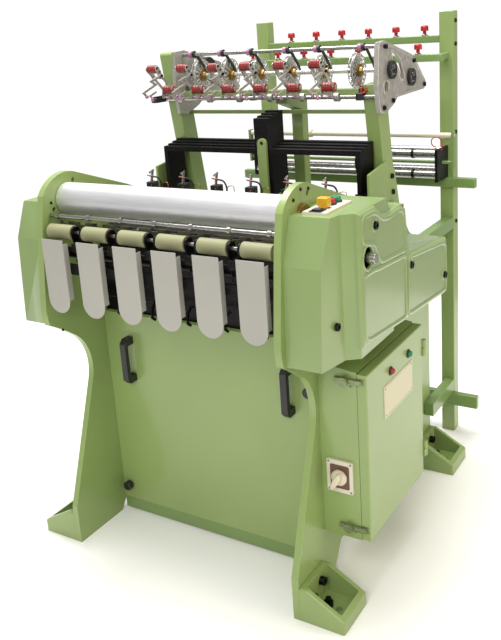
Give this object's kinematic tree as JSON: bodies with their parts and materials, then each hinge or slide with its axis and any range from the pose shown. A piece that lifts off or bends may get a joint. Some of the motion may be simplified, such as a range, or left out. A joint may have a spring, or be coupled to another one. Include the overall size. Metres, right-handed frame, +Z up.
{
  "type": "power loom",
  "caption": "Narrow-fabric power loom: side plates, tape heads with chutes, take-up roller, heald frames, yarn feeder, creel and a side cabinet.",
  "frame": {"origin": "bottom centre of the whole loom's box, on the floor", "axes": "+X to the right as the operator faces the loom, +Y to the creel at the back, +Z up"},
  "size_m": [1.108, 1.229, 1.532],
  "materials": {
    "green_enamel": "smooth gloss enamel",
    "cast_iron": "dark machined casting",
    "satin_aluminium": "satin",
    "bright_steel": "ground and bright",
    "chrome": "polished",
    "bearing_brass": "turned",
    "olive_rubber": "ground rubber",
    "black_rubber": "matt",
    "black_steel": "blackened",
    "grey_enamel": "satin enamel",
    "black_plastic": "moulded",
    "cream_plastic": "moulded",
    "yellow_plastic": "moulded",
    "red_plastic": "moulded",
    "green_plastic": "moulded",
    "red_brown_plastic": "moulded",
    "lever_green": "enamel"
  },
  "bodies": {
    "frame": {"cabinet_body": "green_enamel", "control_plate": "cream_plastic", "cover_left": "green_enamel", "cover_right": "green_enamel", "cover_screws": "black_steel", "creel_beams": "green_enamel", "creel_knobs": "red_plastic", "creel_posts": "green_enamel", "cross_rails": "green_enamel", "drive_belt": "black_rubber", "drive_motor": "cast_iron", "feeder_arms": "satin_aluminium", "feeder_discs": "black_steel", "feeder_plates": "satin_aluminium", "feeder_rods": "bright_steel", "feeder_rollers": "red_brown_plastic", "foot_bolts": "black_steel", "foot_castings": "green_enamel", "front_panel": "green_enamel", "guide_rod": "bright_steel", "head_rails": "black_steel", "heald_guides": "black_steel", "letoff_plates": "black_steel", "letoff_tubes": "bright_steel", "machine_bed": "cast_iron", "panel_fittings": "black_plastic", "roller_brackets": "black_steel", "shaft_bearings": "bearing_brass", "side_plate_left": "green_enamel", "side_plate_right": "green_enamel", "switch_plate": "cream_plastic", "tape_chutes": "grey_enamel", "top_ties": "green_enamel", "upright_brackets": "green_enamel", "upright_left": "green_enamel", "upright_middle": "green_enamel", "upright_right": "green_enamel", "weft_feelers": "black_steel"},
    "take_up": {"take_up_roller": "satin_aluminium"},
    "tape_set": {"tape_roller_shaft": "bright_steel", "tape_rollers": "olive_rubber"},
    "main_drive": {"main_shaft": "bright_steel"},
    "motor_drive": {"motor_pulley": "bright_steel"},
    "feed_drive": {"feed_wheels": "chrome"},
    "yellow_cap": {"yellow_button": "yellow_plastic"},
    "red_cap": {"red_button": "red_plastic"},
    "green_cap": {"green_button": "green_plastic"},
    "rocker": {"rocker_switch": "black_plastic"},
    "rotary_knob": {"switch_knob": "cream_plastic"},
    "door": {"cabinet_door": "green_enamel", "cabinet_lamps": "red_plastic", "name_plate": "satin_aluminium"},
    "latch_a": {"latch_upper": "bright_steel"},
    "latch_b": {"latch_lower": "bright_steel"},
    "tension_levers": {"letoff_levers": "lever_green"},
    "tension_roller": {"letoff_roller": "cream_plastic"},
    "healds_1": {"heald_frames_1": "black_steel"},
    "healds_2": {"heald_frames_2": "black_steel"},
    "healds_3": {"heald_frames_3": "black_steel"},
    "healds_4": {"heald_frames_4": "black_steel"}
  },
  "joints": [
    {"name": "take_up_turn", "type": "hinge", "parent": "frame", "child": "take_up", "pos_m": [-0.024, -0.4745, 1.083], "axis": [1, 0, 0], "continuous": true},
    {"name": "tape_rollers_turn", "type": "hinge", "parent": "frame", "child": "tape_set", "pos_m": [-0.024, -0.5625, 1.007], "axis": [1, 0, 0], "continuous": true},
    {"name": "main_shaft_turn", "type": "hinge", "parent": "frame", "child": "main_drive", "pos_m": [-0.024, -0.4375, 0.977], "axis": [1, 0, 0], "continuous": true},
    {"name": "motor_turn", "type": "hinge", "parent": "frame", "child": "motor_drive", "pos_m": [-0.024, -0.2455, 0.838], "axis": [1, 0, 0], "continuous": true},
    {"name": "feed_wheels_turn", "type": "hinge", "parent": "frame", "child": "feed_drive", "pos_m": [-0.024, 0.1255, 1.379], "axis": [1, 0, 0], "continuous": true},
    {"name": "yellow_press", "type": "slide", "parent": "frame", "child": "yellow_cap", "axis": [0, 0, -1], "range_m": [0, 0.004], "stiffness_N_per_m": 800, "springref_m": -0.002},
    {"name": "red_press", "type": "slide", "parent": "frame", "child": "red_cap", "axis": [0, 0, -1], "range_m": [0, 0.004], "stiffness_N_per_m": 800, "springref_m": -0.002},
    {"name": "green_press", "type": "slide", "parent": "frame", "child": "green_cap", "axis": [0, 0, -1], "range_m": [0, 0.004], "stiffness_N_per_m": 800, "springref_m": -0.002},
    {"name": "rocker_tilt", "type": "hinge", "parent": "frame", "child": "rocker", "pos_m": [0.432, -0.4975, 1.1], "axis": [1, 0, 0], "range_deg": [-8, 8]},
    {"name": "rotary_turn", "type": "hinge", "parent": "frame", "child": "rotary_knob", "pos_m": [0.432, -0.4345, 0.359], "axis": [0, 1, 0], "range_deg": [0, 90]},
    {"name": "door_swing", "type": "hinge", "parent": "frame", "child": "door", "pos_m": [0.516, -0.0275, 0.4205], "axis": [0, 0, 1], "range_deg": [0, 110]},
    {"name": "latch_upper_turn", "type": "hinge", "parent": "frame", "child": "latch_a", "pos_m": [0.454, -0.4345, 0.64], "axis": [0, 1, 0], "range_deg": [0, 90]},
    {"name": "latch_lower_turn", "type": "hinge", "parent": "frame", "child": "latch_b", "pos_m": [0.454, -0.4345, 0.211], "axis": [0, 1, 0], "range_deg": [0, 90]},
    {"name": "tension_swing", "type": "hinge", "parent": "frame", "child": "tension_levers", "pos_m": [-0.024, 0.5085, 1.036], "axis": [1, 0, 0], "range_deg": [-20, 20]},
    {"name": "tension_roller_turn", "type": "hinge", "parent": "tension_levers", "child": "tension_roller", "pos_m": [-0.024, 0.5085, 1.128], "axis": [1, 0, 0], "continuous": true},
    {"name": "healds_1_lift", "type": "slide", "parent": "frame", "child": "healds_1", "axis": [0, 0, 1], "range_m": [-0.028, 0.025]},
    {"name": "healds_2_lift", "type": "slide", "parent": "frame", "child": "healds_2", "axis": [0, 0, 1], "range_m": [-0.028, 0.025]},
    {"name": "healds_3_lift", "type": "slide", "parent": "frame", "child": "healds_3", "axis": [0, 0, 1], "range_m": [-0.028, 0.025]},
    {"name": "healds_4_lift", "type": "slide", "parent": "frame", "child": "healds_4", "axis": [0, 0, 1], "range_m": [-0.028, 0.025]}
  ],
  "couplings": [
    {"joint": "motor_turn", "follows": "main_shaft_turn", "ratio": 2}
  ]
}
